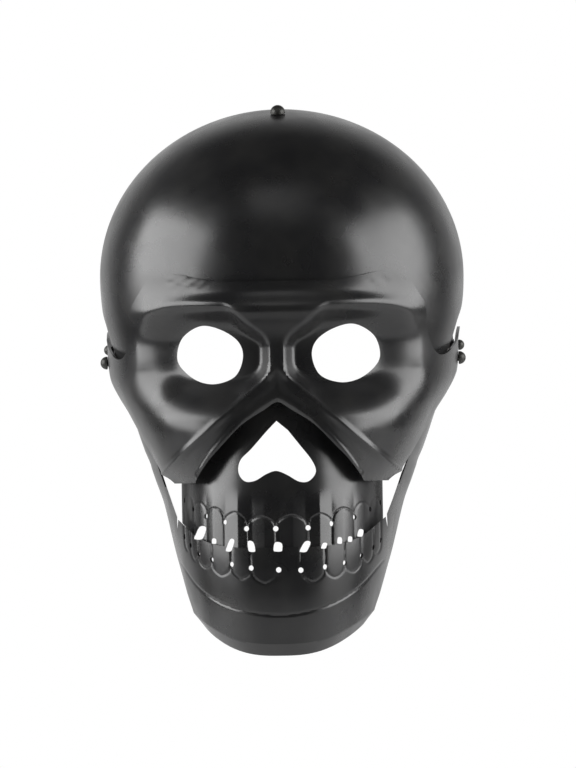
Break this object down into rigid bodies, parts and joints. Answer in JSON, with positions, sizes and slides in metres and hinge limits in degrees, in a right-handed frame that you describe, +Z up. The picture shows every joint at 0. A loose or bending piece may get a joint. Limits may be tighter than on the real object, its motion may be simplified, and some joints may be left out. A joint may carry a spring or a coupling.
{
  "type": "steel skull face mask with hinged jaw",
  "caption": "Black steel skull mask that covers forehead, face and jaw, with a hinged jaw and leather head straps.",
  "frame": {"origin": "on the jaw's hinge axis, midway between the two side rivets, where the ears of the wearer are", "axes": "+Z up through the crown, the face looks along -Y, +X to the wearer's left"},
  "size_m": [0.185, 0.2056, 0.2768],
  "materials": {
    "black_steel": "satin black coating over beaten sheet steel, worn a little at the cut edges",
    "rivet_steel": "dark blackened steel, dull",
    "strap_leather": "dark grey-brown leather with burnished edges"
  },
  "bodies": {
    "mask": {"skull_cap": "black_steel", "face_plate": "black_steel", "upper_teeth": "black_steel", "crown_rivet": "rivet_steel", "jaw_rivet_left": "rivet_steel", "jaw_rivet_right": "rivet_steel", "strap_rivet_left": "rivet_steel", "strap_rivet_right": "rivet_steel", "back_strap": "strap_leather", "crown_strap": "strap_leather", "buckle": "rivet_steel"},
    "jaw": {"jaw": "black_steel"}
  },
  "joints": [
    {"name": "jaw_hinge", "type": "hinge", "parent": "mask", "child": "jaw", "pos_m": [0, 0, 0], "axis": [1, 0, 0], "range_deg": [0, 15]}
  ]
}
